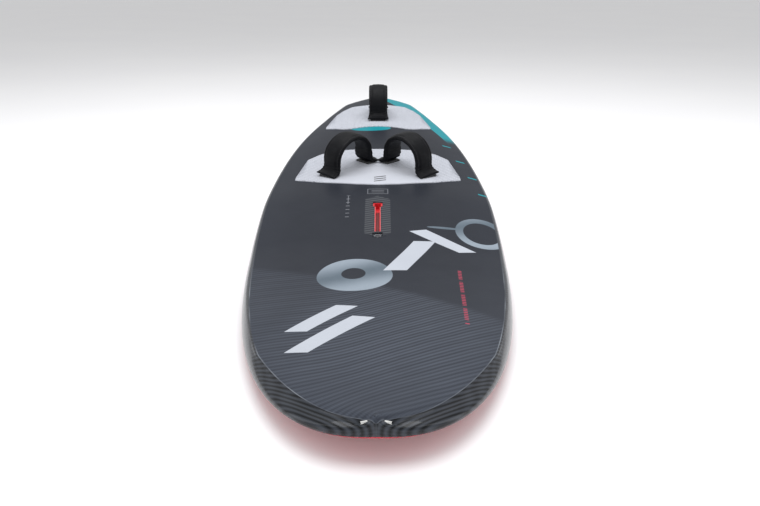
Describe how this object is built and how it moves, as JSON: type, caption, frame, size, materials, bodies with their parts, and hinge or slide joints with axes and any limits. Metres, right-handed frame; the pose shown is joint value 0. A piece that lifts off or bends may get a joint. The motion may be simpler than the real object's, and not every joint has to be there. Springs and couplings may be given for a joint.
{
  "type": "windsurf board",
  "caption": "Sandwich windsurf board with mast track, deck pads, diagonal front footstraps, a central rear footstrap, a vent and a single sliding fin.",
  "frame": {"origin": "centre of the mast track's slot, level with the deck", "axes": "+Z out of the deck, nose towards -Y, tail towards +Y, +X across"},
  "size_m": [0.6278, 2.249, 0.4456],
  "materials": {
    "core_foam": "matte",
    "deck": "satin",
    "bottom": "gloss",
    "dense_foam": "matte",
    "track_red": "satin",
    "black_plastic": "matte",
    "pad_backing": "matte",
    "pad_foam": "matte",
    "webbing": "matte",
    "strap_cover": "satin",
    "strap_foam": "matte",
    "steel": "satin",
    "seal": "satin",
    "fin_laminate": "gloss",
    "brass": "satin"
  },
  "bodies": {
    "board": {"foam_core": "core_foam", "deck_skin": "deck", "bottom_skin": "bottom", "mast_track_block": "dense_foam", "mast_track_box": "track_red", "fin_box_block": "dense_foam", "fin_box": "black_plastic", "vent_housing": "black_plastic", "strap_plugs": "black_plastic", "front_pad_backing": "pad_backing", "front_pad": "pad_foam", "rear_pad_backing": "pad_backing", "rear_pad": "pad_foam", "front_left_strap_tongues": "webbing", "front_right_strap_tongues": "webbing", "rear_strap_tongues": "webbing", "strap_plates": "black_plastic", "strap_screws": "steel"},
    "front_left_strap": {"front_left_strap_cover": "strap_cover", "front_left_strap_webbing": "webbing", "front_left_strap_padding": "strap_foam"},
    "front_right_strap": {"front_right_strap_cover": "strap_cover", "front_right_strap_webbing": "webbing", "front_right_strap_padding": "strap_foam"},
    "rear_strap": {"rear_strap_cover": "strap_cover", "rear_strap_webbing": "webbing", "rear_strap_padding": "strap_foam"},
    "vent_seal": {"vent_ring": "seal"},
    "vent_plug": {"vent_screw": "steel"},
    "fin_assembly": {"fin": "fin_laminate", "fin_pin": "brass", "fin_plate": "brass"},
    "fin_washer": {"fin_washer": "steel"},
    "fin_screw": {"fin_screw": "steel"}
  },
  "joints": [
    {"name": "front_left_lean", "type": "hinge", "parent": "board", "child": "front_left_strap", "pos_m": [-0.0865, 0.352, -0.01027], "axis": [0.6704, 0.742, -0.0066], "range_deg": [-15, 15], "stiffness_Nm_per_rad": 4},
    {"name": "front_right_lean", "type": "hinge", "parent": "board", "child": "front_right_strap", "pos_m": [0.0865, 0.352, -0.01027], "axis": [0.6704, -0.742, 0.0066], "range_deg": [-15, 15], "stiffness_Nm_per_rad": 4},
    {"name": "rear_lean", "type": "hinge", "parent": "board", "child": "rear_strap", "pos_m": [0, 0.931, -0.04883], "axis": [0, -0.9947, 0.1031], "range_deg": [-15, 15], "stiffness_Nm_per_rad": 4},
    {"name": "vent_rise", "type": "slide", "parent": "board", "child": "vent_seal", "axis": [0, 0, 1], "range_m": [0, 0.0048]},
    {"name": "vent_turn", "type": "hinge", "parent": "vent_seal", "child": "vent_plug", "pos_m": [0, -0.103, 0], "axis": [0, 0, 1], "range_deg": [0, 2161]},
    {"name": "fin_slide", "type": "slide", "parent": "board", "child": "fin_assembly", "axis": [0, 1, 0], "range_m": [-0.015, 0.035]},
    {"name": "fin_screw_drop", "type": "slide", "parent": "fin_assembly", "child": "fin_washer", "axis": [0, 0, -1], "range_m": [0, 0.0028]},
    {"name": "fin_screw_turn", "type": "hinge", "parent": "fin_washer", "child": "fin_screw", "pos_m": [0, 0.981, -0.13482], "axis": [0, 0, -1], "range_deg": [0, 1441]}
  ],
  "couplings": [
    {"joint": "vent_turn", "follows": "vent_rise", "rad_per_m": 7854},
    {"joint": "fin_screw_turn", "follows": "fin_screw_drop", "rad_per_m": 8976}
  ]
}
